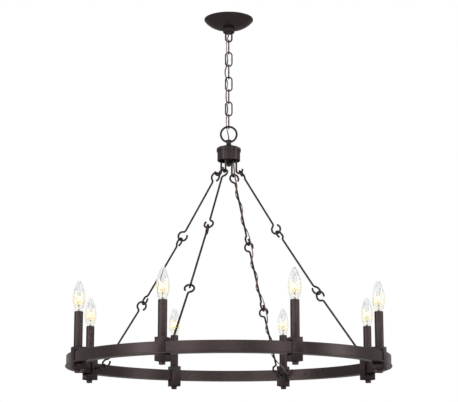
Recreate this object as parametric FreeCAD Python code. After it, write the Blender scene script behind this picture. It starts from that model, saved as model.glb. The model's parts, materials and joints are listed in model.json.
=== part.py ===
"""Wagon wheel chandelier: a rim with eight candles, hung by four jointed arms from a hub on a chain.

Millimetres, +Z up. The origin is the middle of the ceiling plane, and everything hangs below it.
-Y is the side that faces the viewer.
"""

import FreeCAD, Part
import math
import os
from FreeCAD import Vector

# ---- ceiling plate, canopy and the loop that carries the chain ----
crossbar_length = 104.0
crossbar_width = 20.0
crossbar_thickness = 2.4
box_hole_spacing = 88.9
slot_length = 17.0
slot_width = 5.0
box_screw_diameter = 4.2
box_screw_neck = 3.4
box_screw_head = 8.4
box_screw_head_height = 2.6
box_screw_length = 14.0
nipple_diameter = 9.8
nipple_bore = 6.4
nipple_length = 33.0
lock_nut_flats = 14.0
lock_nut_height = 4.0
canopy_diameter = 144.0
canopy_depth = 28.0
canopy_edge = 2.5
canopy_wall = 1.2
canopy_flat = 40.0
canopy_hole = 28.0
barrel_diameter = 26.0
barrel_above_canopy = 9.0
barrel_below_collar = 2.0
collar_diameter = 34.0
collar_height = 13.0
collar_edge = 1.2
collar_groove = 0.8
collar_groove_width = 2.6
collar_groove_slope = 1.0
loop_wire = 5.0
loop_width = 23.0
loop_drop = 30.0
wireway_bore = 7.0

# ---- chain ----
link_count = 7
link_wire = 4.0
link_width = 22.7
link_length = 46.0

# ---- hub ----
ring_wire = 6.0
ring_diameter = 52.0
lug_above_ring = 3.0
lug_top_diameter = 17.4
lug_neck_diameter = 14.0
lug_foot_diameter = 20.0
lug_height = 17.0
lug_band = 3.5
lug_edge = 1.5
lug_neck_height = 7.6
stem_diameter = 12.6
cap_diameter = 70.4
cap_dome = 9.6
cap_rim = 8.4
cap_wall = 1.6
cap_shoulder = 27.0
cap_crown_ring = 0.5
# the cap's outline in shares: how far the crown falls, and how full its two curves are
cap_crown_share = 0.45
cap_crown_fullness = 0.32
cap_shoulder_reach = 0.66
cap_shoulder_fullness = 0.42
cup_diameter = 66.2
cup_below_cap = 27.4
cup_wall = 1.6
cup_lip = 0.8
plate_thickness = 3.0
plate_recess = 9.5
finial_nut_diameter = 17.0
finial_nut_height = 6.0
finial_nut_edge = 0.8
finial_nut_chamfer = 1.5
finial_ball = 13.0
finial_ball_neck = 7.1
finial_neck_flare = 1.0
finial_drop = 26.5
hub_hook_circle = 47.2
hub_hook_bend = 9.5
hub_hook_drop = 29.7
hub_hook_tip = 3.0
hook_above_plate = 4.0
hub_cord_hole = 6.0
hub_cord_radius = 19.5
hub_cord_angle = 45.0

# ---- arms: three rods each, bent into an open eye at both ends ----
arm_names = ("a", "b", "c", "d")
arm_angles = (157.5, -112.5, 67.5, -22.5)
rods_per_arm = 3
rod_wire = 5.6
rod_eye_bore = 20.0
rod_neck_bend = 8.0
rod_eye_sweep = 290.0
arm_sag = 6.3
# how far each rod's upper and lower eye is turned about the rod, from level
eye_turns = {
    "a": ((28.0, 50.0), (130.0, 130.0), (45.0, 20.0)),
    "b": ((0.0, 0.0), (70.0, 60.0), (-15.0, 10.0)),
    "c": ((0.0, 45.0), (-45.0, 50.0), (-40.0, 0.0)),
    "d": ((0.0, -90.0), (15.0, 30.0), (-65.0, 0.0)),
}

# ---- wheel ----
candle_count = 8
first_candle_angle = 22.5
candle_circle = 881.0
wheel_drop = 552.7
rim_width = 28.0
rim_height = 31.4
rim_wall = 2.0
rim_edge = 1.5
cover_height = 4.6
cover_lip = 2.5
cover_plate = 2.0
cover_edge = 1.0
block_width = 29.0
block_depth = 39.0
block_above_rim = 11.5
block_below_rim = 18.5
block_edge = 1.5
block_soft_edge = 0.6
block_inner_corner = 5.0
wheel_eye_bend = 9.5
wheel_eye_reach = 25.4
wheel_eye_root = 7.0
seam_angle = 54.4
seam_screw_spread = 5.6
seam_screw_diameter = 3.0
seam_screw_head = 6.0
seam_screw_head_height = 1.8
splice_thickness = 2.0
splice_length = 64.0
splice_height = 18.0
seam_screw_past_plate = 2.0
seam_gap = 0.3
wiring_diameter = 5.0
wiring_off_wall = 1.0
rim_cord_hole = 5.4
rim_cord_angle = 64.4

# ---- candles ----
sleeve_diameter = 24.0
sleeve_wall = 1.0
sleeve_height = 96.0
socket_diameter = 19.0
socket_height = 30.0
socket_below_sleeve_top = 5.0
socket_stem_diameter = 14.0
socket_stem_height = 12.0
socket_thread_depth = 3.0
nipple_in_socket = 2.0
bulb_diameter = 35.0
bulb_height = 86.0
bulb_wall = 0.9
bulb_belly_height = 32.0
bulb_tip_radius = 4.5
bulb_tip_height = 2.5
base_below_sleeve_top = 2.0
base_diameter = 11.8
base_length = 17.0
base_contact_diameter = 5.0
base_taper = 3.5
finial_diameter = 17.0
finial_height = 8.6
finial_neck = 13.0
finial_flange = 2.2
finial_edge = 1.0
finial_foot_edge = 1.6
finial_floor = 2.9

# ---- cord ----
cord_diameter = 4.4
cord_arm = "c"
cord_off_rod = 6.3
cord_off_eyes = 8.4
cord_off_crossing = 8.8
cord_turn_step = 60.0
# how far the cord has wound round its arm at the hub, at the two crossings and at the wheel, from level
cord_windings = (225.0, 900.0, 1625.0, 2295.0)
eye_zone = 31.0
crossing_zone = 11.0
# its way out of the hub: radius and degrees past its hole, and height over the hook plate's underside
arm_cord_start = ((0.0, 0.0, 7.0), (0.4, 0.0, -16.0), (6.5, 7.0, -31.0))
# where it comes to the first rod, from the top of the arm
arm_cord_onto_rod = (-4.0, 13.0)
# its way into the rim: radius past the inner face, share of the turn to its hole, height over the middle
arm_cord_end = ((-36.0, 0.62, 25.0), (-22.0, 0.88, 10.0), (-9.0, 1.0, 0.0), (7.0, 1.0, 0.0))
# the share of a run that each of its two arcs takes
arc_share = 0.45
# where the cord runs through the chain, from the canopy loop to the hub's lug
chain_cord_route = (
    (0.0, 0.0, -30.0),
    (0.0, 0.0, -47.0),
    (-2.6, -5.4, -57.0),
    (-6.0, -6.4, -69.0),
    (-6.6, -6.2, -87.0),
    (-6.2, -6.0, -104.0),
    (-2.4, 0.0, -122.4),
    (-6.2, 6.3, -140.5),
    (-10.8, 6.8, -155.0),
    (-10.4, 6.2, -167.0),
    (-6.4, 6.1, -180.5),
    (-2.4, 0.0, -198.0),
    (-6.2, -6.2, -215.5),
    (-8.2, -6.6, -235.0),
    (-6.4, -6.1, -255.0),
    (-2.4, 0.0, -273.4),
    (-6.2, 6.2, -291.0),
    (-7.6, 6.8, -309.0),
    (-6.6, 6.4, -327.0),
    (-3.2, 2.9, -343.0),
    (0.0, 0.0, -359.0),
    (0.0, 0.0, -375.0),
)

# ---- clearances ----
past_face = 1.0
hanging_gap = 0.3
thread_gap = 0.08
slip_gap = 0.2
seat_gap = 0.1

# ---- places that follow from the sizes ----
ORIGIN = Vector(0, 0, 0)
UP = Vector(0, 0, 1)
canopy_floor = -canopy_depth
collar_top = canopy_floor - seat_gap
collar_bottom = collar_top - collar_height
barrel_top = canopy_floor + barrel_above_canopy
barrel_bottom = collar_bottom - barrel_below_collar
loop_bend = (loop_width - loop_wire) / 2
loop_hang = collar_bottom - loop_drop + loop_wire / 2
link_bend = (link_width - link_wire) / 2
link_centres = link_length - link_wire
ring_bend = (ring_diameter - ring_wire) / 2


def chain_places():
    """The top and bottom wire centre of each link, top link first."""
    places = []
    carrier = loop_hang
    carrier_wire = loop_wire
    for _ in range(link_count):
        top = carrier + carrier_wire / 2 + link_wire / 2 + hanging_gap
        carrier = top - link_centres
        carrier_wire = link_wire
        places.append((top, carrier))
    return places


link_places = chain_places()
ring_top = link_places[-1][1] + link_wire / 2 + ring_wire / 2 + hanging_gap
ring_centre = ring_top - ring_bend
lug_top = ring_centre - ring_bend + ring_wire / 2 + lug_above_ring
cap_top = lug_top - lug_height
cap_edge = cap_top - cap_dome
cap_bottom = cap_edge - cap_rim
cup_top = cap_edge - seat_gap
cup_bottom = cap_bottom - cup_below_cap
plate_bottom = cup_bottom + plate_recess
plate_top = plate_bottom + plate_thickness
stem_bottom = plate_bottom - finial_nut_height
finial_bottom = plate_bottom - finial_drop
hook_centre_z = cup_bottom - hub_hook_drop
hook_centre_r = hub_hook_circle / 2 + hub_hook_bend
rim_middle = hook_centre_z - wheel_drop
rim_top = rim_middle + rim_height / 2
rim_bottom = rim_middle - rim_height / 2
channel_bottom = rim_bottom + cover_height
rim_centre = candle_circle / 2
rim_outer = rim_centre + rim_width / 2
rim_inner = rim_centre - rim_width / 2
block_inner = rim_centre - block_depth / 2
block_top = rim_top + block_above_rim
block_bottom = rim_bottom - block_below_rim
sleeve_top = block_top + sleeve_height
socket_top = sleeve_top - socket_below_sleeve_top
socket_bottom = socket_top - socket_height
wheel_eye_r = block_inner - wheel_eye_reach
candle_angles = [first_candle_angle + n * 360.0 / candle_count for n in range(candle_count)]
rod_bend = (rod_eye_bore + rod_wire) / 2


# ---- helpers ----
def at(r, z):
    """A point of the X-Z half plane."""
    return Vector(r, 0, z)


def polar(r, angle, z):
    a = math.radians(angle)
    return Vector(r * math.cos(a), r * math.sin(a), z)


def lines(points):
    return [Part.LineSegment(p, q).toShape() for p, q in zip(points, points[1:])]


def arc(start, middle, end):
    return Part.Arc(start, middle, end).toShape()


def lens_arc(start, middle, end):
    """An arc whose centre lies beyond the axis that it is turned about, as a curve of its own."""
    return Part.Arc(start, middle, end).toBSpline().toShape()


def turned(edges):
    """A solid of revolution about Z from a closed outline in the X-Z half plane."""
    return Part.Face(Part.Wire(edges)).revolve(ORIGIN, UP, 360)


def turned_outline(points):
    corners = [at(r, z) for r, z in points]
    return turned(lines(corners + corners[:1]))


def disc(radius, bottom, top):
    return Part.makeCylinder(radius, top - bottom, at(0, bottom), UP)


def ring(inner, outer, bottom, top):
    return disc(outer, bottom, top).cut(disc(inner, bottom - past_face, top + past_face))


def hexagon(flats, bottom, top):
    corner = flats / math.sqrt(3)
    corners = [polar(corner, 60 * n, bottom) for n in range(7)]
    return Part.Face(Part.Wire(lines(corners))).extrude(at(0, top - bottom))


def swept(edges, diameter):
    """A round wire along joined edges, which run tangent into each other."""
    first = edges[0]
    start = first.FirstParameter
    circle = Part.makeCircle(diameter / 2, first.valueAt(start), first.tangentAt(start))
    return Part.Wire(edges).makePipeShell([Part.Wire([circle])], True, False)


def turned_copy(shape, angle):
    copy = shape.copy()
    copy.rotate(ORIGIN, UP, angle)
    return copy


def on_candle_circle(shape):
    """Copies of a shape that stands on the X axis, one at each candle."""
    return Part.makeCompound([turned_copy(shape, angle) for angle in candle_angles])


def on_arms(shape):
    return Part.makeCompound([turned_copy(shape, angle) for angle in arm_angles])


def save(name, shape):
    if not shape.isValid():
        raise ValueError(name + " isn't a sound shape")
    shape.exportStep("parts/" + name + ".step")


# ---- ceiling ----
def crossbar():
    """Flat steel strap with a threaded middle hole and a slot at each end for the ceiling box's screws."""
    under = -crossbar_thickness - past_face
    bar = Part.makeBox(crossbar_length, crossbar_width, crossbar_thickness)
    bar.translate(Vector(-crossbar_length / 2, -crossbar_width / 2, -crossbar_thickness))
    upright = [e for e in bar.Edges if abs(e.tangentAt(e.FirstParameter).z) > 0.9]
    bar = bar.makeFillet(crossbar_width / 4, upright)
    bar = bar.cut(disc(nipple_diameter / 2 + thread_gap, under, past_face))
    half = (slot_length - slot_width) / 2
    for side in (-1, 1):
        middle = side * box_hole_spacing / 2
        slot = Part.makeBox(2 * half, slot_width, past_face - under)
        slot.translate(Vector(middle - half, -slot_width / 2, under))
        for end in (-half, half):
            hole = disc(slot_width / 2, under, past_face)
            hole.translate(Vector(middle + end, 0, 0))
            slot = slot.fuse(hole)
        bar = bar.cut(slot)
    return bar


def box_screws():
    """The two screws that hold the strap to the ceiling box, heads down, with a plain neck in the strap."""
    head_top = -crossbar_thickness
    head = disc(box_screw_head / 2, head_top - box_screw_head_height, head_top)
    head = head.makeFillet(box_screw_head_height / 3, [head.Edges[2]])
    neck = disc(box_screw_neck / 2, head_top, 0)
    thread = disc(box_screw_diameter / 2, 0, head_top + box_screw_length)
    screw = head.fuse(neck).fuse(thread)
    screws = []
    for side in (-1, 1):
        copy = screw.copy()
        copy.translate(Vector(side * box_hole_spacing / 2, 0, 0))
        screws.append(copy)
    return Part.makeCompound(screws)


def ceiling_nipple():
    return ring(nipple_bore / 2, nipple_diameter / 2, -nipple_length, 0)


def nipple_lock_nut():
    top = -crossbar_thickness - seat_gap
    nut = hexagon(lock_nut_flats, top - lock_nut_height, top)
    return nut.cut(disc(nipple_diameter / 2 + thread_gap, top - lock_nut_height - past_face, top + past_face))


def dome_radius(edge_radius, flat_radius, height):
    """The radius of an arc that leaves a flat level and rises by height over the rest of the width."""
    run = edge_radius - flat_radius
    return (run * run + height * height) / (2 * height)


def canopy():
    """A spun bowl with a short upright edge, a round dome and a flat with a hole for the loop's barrel."""
    edge = canopy_diameter / 2
    flat = canopy_flat / 2
    hole = canopy_hole / 2
    radius = dome_radius(edge, flat, canopy_depth - canopy_edge)
    centre_z = canopy_floor + radius

    def on_dome(r, wall):
        reach = radius - wall
        return at(r, centre_z - math.sqrt(reach * reach - (r - flat) ** 2))

    middle = (edge + flat) / 2
    inner_edge = edge - canopy_wall
    outline = [
        *lines([at(hole, canopy_floor + canopy_wall), at(hole, canopy_floor), on_dome(flat, 0)]),
        arc(on_dome(flat, 0), on_dome(middle, 0), on_dome(edge, 0)),
        *lines([on_dome(edge, 0), at(edge, 0), at(inner_edge, 0), on_dome(inner_edge, canopy_wall)]),
        arc(on_dome(inner_edge, canopy_wall), on_dome(middle, canopy_wall), on_dome(flat, canopy_wall)),
        *lines([on_dome(flat, canopy_wall), at(hole, canopy_floor + canopy_wall)]),
    ]
    return turned(outline)


def collar_nut():
    """The threaded ring that holds the canopy up, with a waist for the fingers."""
    outer = collar_diameter / 2
    bore = barrel_diameter / 2 + thread_gap
    waist = outer - collar_groove
    middle = (collar_top + collar_bottom) / 2
    groove = collar_groove_width / 2
    brink = groove + collar_groove_slope
    return turned_outline(
        [
            (bore, collar_top),
            (outer - collar_edge, collar_top),
            (outer, collar_top - collar_edge),
            (outer, middle + brink),
            (waist, middle + groove),
            (waist, middle - groove),
            (outer, middle - brink),
            (outer, collar_bottom + collar_edge),
            (outer - collar_edge, collar_bottom),
            (bore, collar_bottom),
        ]
    )


def canopy_loop():
    """A threaded barrel on the ceiling nipple, with a long loop under it and a way through for the cord."""
    barrel = disc(barrel_diameter / 2, barrel_bottom, barrel_top)
    bend_z = loop_hang + loop_bend
    legs_top = barrel_bottom + loop_wire / 2
    path = [
        *lines([at(-loop_bend, legs_top), at(-loop_bend, bend_z)]),
        arc(at(-loop_bend, bend_z), at(0, loop_hang), at(loop_bend, bend_z)),
        *lines([at(loop_bend, bend_z), at(loop_bend, legs_top)]),
    ]
    body = barrel.fuse(swept(path, loop_wire))
    socket = disc(nipple_diameter / 2 + thread_gap, -nipple_length - seat_gap, barrel_top + past_face)
    wireway = disc(wireway_bore / 2, barrel_bottom - past_face, barrel_top)
    return body.cut(socket).cut(wireway)


# ---- chain ----
def chain_link(number):
    """A welded oval link. Odd links lie in the Y-Z plane and even ones in the X-Z plane."""
    top, bottom = link_places[number]
    upper = top - link_bend
    lower = bottom + link_bend
    path = [
        *lines([at(link_bend, lower), at(link_bend, upper)]),
        arc(at(link_bend, upper), at(0, top), at(-link_bend, upper)),
        *lines([at(-link_bend, upper), at(-link_bend, lower)]),
        arc(at(-link_bend, lower), at(0, bottom), at(link_bend, lower)),
    ]
    link = swept(path, link_wire)
    return turned_copy(link, 90) if number % 2 == 0 else link


# ---- hub ----
def hub_loop():
    """One casting: the big ring, the waisted lug that it grows out of, and the hollow threaded stem."""
    hoop = Part.makeTorus(ring_bend, ring_wire / 2, at(0, ring_centre), Vector(0, 1, 0))
    top = lug_top_diameter / 2
    neck = lug_neck_diameter / 2
    foot = lug_foot_diameter / 2
    stem = stem_diameter / 2
    mid = lug_edge * (1 - math.sqrt(0.5))
    brow = at(top - lug_edge, lug_top)
    side = at(top, lug_top - lug_edge)
    band_end = at(top, lug_top - lug_band)
    outline = [
        *lines([at(0, lug_top), brow]),
        arc(brow, at(top - mid, lug_top - mid), side),
        *lines([side, band_end]),
        arc(band_end, at(neck, cap_top + lug_neck_height), at(foot, cap_top)),
        *lines([at(foot, cap_top), at(stem, cap_top), at(stem, stem_bottom), at(0, stem_bottom)]),
        *lines([at(0, stem_bottom), at(0, lug_top)]),
    ]
    body = hoop.fuse(turned(outline))
    return body.cut(disc(wireway_bore / 2, stem_bottom - past_face, lug_top + past_face))


def hub_cap():
    """The spun cap: a low dome with a soft shoulder and a plain rim that hangs over the cup."""
    outer = cap_diameter / 2
    bore = stem_diameter / 2 + slip_gap
    crown = lug_foot_diameter / 2 + cap_crown_ring
    dome_fall = cap_dome * cap_crown_share

    def skin(inset):
        start = at(crown, cap_top - inset)
        shoulder = at(cap_shoulder, cap_top - dome_fall - inset)
        edge = at(outer - inset, cap_edge - inset / 2)
        middle_r = (crown + cap_shoulder) / 2
        middle = at(middle_r, cap_top - dome_fall * cap_crown_fullness - inset)
        bend_r = cap_shoulder + (outer - inset - cap_shoulder) * cap_shoulder_reach
        bend_fall = dome_fall + (cap_dome - dome_fall) * cap_shoulder_fullness
        bend = at(bend_r, cap_top - bend_fall - inset * 3 / 4)
        return start, middle, shoulder, bend, edge

    start, middle, shoulder, bend, edge = skin(0)
    start_in, middle_in, shoulder_in, bend_in, edge_in = skin(cap_wall)
    outline = [
        *lines([at(bore, cap_top - cap_wall), at(bore, cap_top), start]),
        arc(start, middle, shoulder),
        arc(shoulder, bend, edge),
        *lines([edge, at(outer, cap_bottom), at(outer - cap_wall, cap_bottom), edge_in]),
        arc(edge_in, bend_in, shoulder_in),
        arc(shoulder_in, middle_in, start_in),
        *lines([start_in, at(bore, cap_top - cap_wall)]),
    ]
    return turned(outline)


def hub_cup():
    """The can under the cap, open below, with a small rolled lip."""
    outer = cup_diameter / 2
    inner = outer - cup_wall
    bore = stem_diameter / 2 + slip_gap
    return turned_outline(
        [
            (bore, cup_top),
            (outer - cup_lip, cup_top),
            (outer, cup_top - cup_lip),
            (outer, cup_bottom + cup_lip),
            (outer - cup_lip, cup_bottom),
            (inner - cup_lip / 2, cup_bottom),
            (inner - cup_lip / 2, cup_bottom + 2 * cup_lip),
            (inner, cup_bottom + 3 * cup_lip),
            (inner, cup_top - cup_wall),
            (bore, cup_top - cup_wall),
        ]
    )


def hook_plate():
    """The thick disc inside the cup that the four hooks and the cord pass through."""
    low = plate_bottom - past_face
    high = plate_top + past_face
    plate = disc(cup_diameter / 2 - cup_wall - slip_gap, plate_bottom, plate_top)
    plate = plate.cut(disc(stem_diameter / 2 + slip_gap, low, high))
    for angle in arm_angles:
        hole = disc(rod_wire / 2 + thread_gap, low, high)
        hole.translate(polar(hub_hook_circle / 2, angle, 0))
        plate = plate.cut(hole)
    cord_hole = disc(hub_cord_hole / 2, low, high)
    cord_hole.translate(polar(hub_cord_radius, hub_cord_angle, 0))
    return plate.cut(cord_hole)


def hub_finial():
    """The nut that clamps the hub on its stem, drawn out to a ball."""
    nut = finial_nut_diameter / 2
    ball = finial_ball / 2
    neck = finial_ball_neck / 2
    top = plate_bottom - seat_gap
    nut_bottom = top - finial_nut_height
    brim = at(nut, nut_bottom + finial_nut_chamfer)
    under = at(nut - finial_nut_chamfer, nut_bottom)
    neck_top = at(neck, nut_bottom - finial_nut_chamfer - finial_neck_flare)
    ball_z = finial_bottom + ball
    neck_foot = at(neck, ball_z + math.sqrt(ball * ball - neck * neck))
    outline = [
        *lines([at(0, top), at(nut - finial_nut_edge, top), at(nut, top - finial_nut_edge), brim]),
        *lines([brim, under, neck_top, neck_foot]),
        arc(neck_foot, at(ball, ball_z), at(0, finial_bottom)),
        *lines([at(0, finial_bottom), at(0, top)]),
    ]
    bore = disc(stem_diameter / 2 + thread_gap, stem_bottom - seat_gap, top + past_face)
    return turned(outline).cut(bore)


def hub_hook():
    """A J hook, straight down from the plate and curled outwards."""
    shank_r = hub_hook_circle / 2
    tip_r = shank_r + 2 * hub_hook_bend
    bend_start = at(shank_r, hook_centre_z)
    bend_end = at(tip_r, hook_centre_z)
    path = [
        *lines([at(shank_r, plate_top + hook_above_plate), bend_start]),
        arc(bend_start, at(hook_centre_r, hook_centre_z - hub_hook_bend), bend_end),
        *lines([bend_end, at(tip_r, hook_centre_z + hub_hook_tip)]),
    ]
    return swept(path, rod_wire)


# ---- arms ----
def arm_junctions():
    """Where the wires cross along an arm, as (r, z) from the hub's hook to the wheel's eye."""
    wires = rod_wire + hanging_gap
    first = at(hook_centre_r, hook_centre_z - hub_hook_bend)
    last = at(wheel_eye_r, rim_middle)
    for _ in range(6):
        span = (last - first).Length
        along = (last - first).normalize()
        inward = Vector(along.z, 0, -along.x)
        points = [first]
        for n in range(1, rods_per_arm):
            points.append(first + along * (span * n / rods_per_arm) + inward * arm_sag)
        points.append(last)
        upper = (points[1] - points[0]).normalize()
        lower = (points[-1] - points[-2]).normalize()
        first = at(hook_centre_r, hook_centre_z) + upper * hub_hook_bend
        last = at(wheel_eye_r, rim_middle) - lower * (wheel_eye_bend - wires)
    return [first] + points[1:-1] + [last]


junctions = arm_junctions()


def rod_frame(number):
    """A rod's upper wire centre, lower wire centre and direction, in the X-Z half plane."""
    start = junctions[number]
    end = junctions[number + 1]
    along = (end - start).normalize()
    return start - along * (rod_wire + hanging_gap), end, along


def eye_edges(far, outward, sideways):
    """A rod's end from its shank to the eye's open tip. far is the wire's centre at the eye's far side."""
    centre = far - outward * rod_bend
    reach = math.sqrt((rod_neck_bend + rod_bend) ** 2 - rod_neck_bend**2)
    shank = centre - outward * reach
    neck = shank + sideways * rod_neck_bend
    to_eye = (centre - neck).normalize()
    join = neck + to_eye * rod_neck_bend
    half_way = (to_eye - sideways).normalize()
    start = math.degrees(math.atan2(rod_neck_bend, -reach))

    def on_eye(angle):
        a = math.radians(angle)
        return centre + (outward * math.cos(a) + sideways * math.sin(a)) * rod_bend

    bend = arc(shank, neck + half_way * rod_neck_bend, join)
    eye = arc(join, on_eye(start - rod_eye_sweep / 2), on_eye(start - rod_eye_sweep))
    return shank, bend, eye


def arm_rod(number, turns):
    """A round rod with an open eye at each end, in its place on an arm that points along +X."""
    upper, lower, along = rod_frame(number)
    level = Vector(0, 1, 0)
    square = along.cross(level)

    def side(turn):
        a = math.radians(turn)
        return level * math.cos(a) + square * math.sin(a)

    top_shank, top_bend, top_eye = eye_edges(upper, along * -1, side(turns[0]))
    low_shank, low_bend, low_eye = eye_edges(lower, along, side(turns[1]))
    shank = Part.LineSegment(top_shank, low_shank).toShape()
    rod = swept([shank, low_bend, low_eye], rod_wire)
    return rod.fuse(swept([top_bend, top_eye], rod_wire))


# ---- wheel ----
def channel_outline(grow):
    """The rim's outside as a closed outline, cover and its lip included, grown by a clearance."""
    lip = rim_outer + cover_lip + grow
    return [
        (rim_inner - grow, rim_bottom - grow),
        (lip, rim_bottom - grow),
        (lip, channel_bottom + grow),
        (rim_outer + grow, channel_bottom + grow),
        (rim_outer + grow, rim_top + grow),
        (rim_inner - grow, rim_top + grow),
    ]


def bolt_holes(bottom, top, gap):
    hole = disc(nipple_diameter / 2 + gap, bottom, top)
    hole.translate(at(rim_centre, 0))
    return on_candle_circle(hole)


def wheel_rim():
    """The rolled rim: a channel that is open below, softened along its upper edges."""
    mid = rim_edge * (1 - math.sqrt(0.5))
    inner = rim_inner + rim_wall
    outer = rim_outer - rim_wall
    under = rim_top - rim_wall
    shoulder = rim_top - rim_edge
    inner_shoulder = at(rim_inner, shoulder)
    inner_brow = at(rim_inner + rim_edge, rim_top)
    outer_brow = at(rim_outer - rim_edge, rim_top)
    outer_shoulder = at(rim_outer, shoulder)
    channel = turned(
        [
            *lines([at(rim_inner, channel_bottom), inner_shoulder]),
            arc(inner_shoulder, at(rim_inner + mid, rim_top - mid), inner_brow),
            *lines([inner_brow, outer_brow]),
            arc(outer_brow, at(rim_outer - mid, rim_top - mid), outer_shoulder),
            *lines([outer_shoulder, at(rim_outer, channel_bottom), at(outer, channel_bottom)]),
            *lines([at(outer, channel_bottom), at(outer, under), at(inner, under)]),
            *lines([at(inner, under), at(inner, channel_bottom), at(rim_inner, channel_bottom)]),
        ]
    )
    channel = channel.cut(bolt_holes(rim_top - rim_wall - past_face, rim_top + past_face, slip_gap))
    channel = channel.cut(radial_hole(rim_cord_hole, rim_cord_angle))
    for side in (-1, 1):
        channel = channel.cut(radial_hole(seam_screw_diameter, seam_angle + side * seam_screw_spread / 2))
    for angle in arm_angles:
        channel = channel.cut(radial_hole(rod_wire + 2 * thread_gap, angle))
    return channel.cut(seam_cut())


def seam_cut():
    """The narrow gap where the two ends of the rolled rim meet."""
    start = rim_inner - past_face
    width = rim_outer + past_face - start
    cut = Part.makeBox(width, seam_gap, rim_height + 2 * past_face)
    cut.translate(Vector(start, -seam_gap / 2, rim_bottom - past_face))
    return turned_copy(cut, seam_angle)


def radial_hole(diameter, angle):
    """A drill at the rim's mid height, from inside a block's face to past the splice plate."""
    start = block_inner - past_face
    length = rim_inner + rim_wall + 2 * splice_thickness - start
    drill = Part.makeCylinder(diameter / 2, length, at(start, rim_middle), Vector(1, 0, 0))
    return turned_copy(drill, angle)


def rim_cover():
    """The ring that closes the channel from below: a floor, and an edge strip that stands proud outside."""
    lip = rim_outer + cover_lip
    step = rim_outer - rim_wall - slip_gap
    floor = rim_bottom + cover_plate
    top = channel_bottom - seat_gap
    cover = turned_outline(
        [
            (rim_inner, rim_bottom),
            (lip - cover_edge, rim_bottom),
            (lip, rim_bottom + cover_edge),
            (lip, top - cover_edge),
            (lip - cover_edge, top),
            (step, top),
            (step, floor),
            (rim_inner + rim_wall, floor),
            (rim_inner + rim_wall, top),
            (rim_inner, top),
        ]
    )
    return cover.cut(bolt_holes(rim_bottom - past_face, floor + past_face, slip_gap))


def block(carries_arm):
    """The cast block that the rim passes through under a candle. Four of them take an arm's screw eye."""
    box = Part.makeBox(block_depth, block_width, block_top - block_bottom)
    box.translate(Vector(block_inner, -block_width / 2, block_bottom))

    def is_inner_top(edge):
        middle = edge.CenterOfMass
        return abs(middle.x - block_inner) < 0.01 and abs(middle.z - block_top) < 0.01

    inner_top = [e for e in box.Edges if is_inner_top(e)]
    box = box.makeFillet(block_inner_corner, inner_top)
    outer = block_inner + block_depth
    corners = [
        e
        for e in box.Edges
        if abs(e.CenterOfMass.x - outer) < 0.01 and abs(abs(e.CenterOfMass.y) - block_width / 2) < 0.01
    ]
    box = box.makeFillet(block_edge, corners)
    box = box.makeFillet(block_soft_edge, sharp_edges(box))
    box = box.cut(turned_outline(channel_outline(seat_gap)))
    bolt = disc(nipple_diameter / 2 + thread_gap, block_bottom - past_face, block_top + past_face)
    bolt.translate(at(rim_centre, 0))
    box = box.cut(bolt)
    if carries_arm:
        box = box.cut(radial_hole(rod_wire + 2 * thread_gap, 0))
    return box


def sharp_edges(body):
    """The edges of a solid where two faces meet at an angle."""
    found = []
    for edge in body.Edges:
        point = edge.valueAt((edge.FirstParameter + edge.LastParameter) / 2)
        faces = [f for f in body.Faces if any(edge.isSame(e) for e in f.Edges)]
        normals = [f.normalAt(*f.Surface.parameter(point)) for f in faces]
        if normals[0].getAngle(normals[-1]) > math.radians(10):
            found.append(edge)
    return found


def wheel_eye():
    """A screw eye in the inner face of a block, for the arm's lowest eye."""
    hoop = Part.makeTorus(wheel_eye_bend, rod_wire / 2, at(wheel_eye_r, rim_middle), Vector(0, 1, 0))
    root = block_inner + wheel_eye_root
    start = wheel_eye_r + wheel_eye_bend
    shank = Part.makeCylinder(rod_wire / 2, root - start, at(start, rim_middle), Vector(1, 0, 0))
    return hoop.fuse(shank)


def splice_plate():
    """The plate behind the rim's inner wall that joins the two ends of the ring."""
    half = math.degrees(splice_length / 2 / rim_inner)
    outer = rim_inner + rim_wall + slip_gap + splice_thickness
    low = rim_middle - splice_height / 2
    strap = turned_part(rim_inner + rim_wall + seat_gap, outer, low, low + splice_height, 2 * half)
    strap = turned_copy(strap, seam_angle - half)
    for side in (-1, 1):
        strap = strap.cut(radial_hole(seam_screw_diameter, seam_angle + side * seam_screw_spread / 2))
    return strap


def turned_part(inner, outer, bottom, top, angle):
    corners = [at(inner, bottom), at(outer, bottom), at(outer, top), at(inner, top), at(inner, bottom)]
    return Part.Face(Part.Wire(lines(corners))).revolve(ORIGIN, UP, angle)


def seam_screws():
    """The two screws of the splice, heads on the rim's inner face."""
    face = rim_inner - seat_gap
    screws = []
    for side in (-1, 1):
        head_start = at(face - seam_screw_head_height, rim_middle)
        head = Part.makeCylinder(seam_screw_head / 2, seam_screw_head_height, head_start, Vector(1, 0, 0))
        length = rim_wall + splice_thickness + seam_screw_past_plate
        radius = seam_screw_diameter / 2 - thread_gap
        shank = Part.makeCylinder(radius, length, at(face, rim_middle), Vector(1, 0, 0))
        screws.append(turned_copy(head.fuse(shank), seam_angle + side * seam_screw_spread / 2))
    return Part.makeCompound(screws)


def rim_wiring():
    """The bundle of wires that runs round inside the channel, on its cover and outside the bolts."""
    radius = rim_outer - rim_wall - slip_gap - wiring_off_wall - wiring_diameter / 2
    height = rim_bottom + cover_plate + hanging_gap + wiring_diameter / 2
    return Part.makeTorus(radius, wiring_diameter / 2, at(0, height), UP)


# ---- candles ----
def candle_nipple():
    """The hollow threaded rod that clamps finial, block, rim and socket together."""
    bottom = block_bottom - finial_height + finial_floor + seat_gap
    tube = ring(nipple_bore / 2, nipple_diameter / 2, bottom, socket_bottom + nipple_in_socket)
    tube.translate(at(rim_centre, 0))
    return tube


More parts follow.
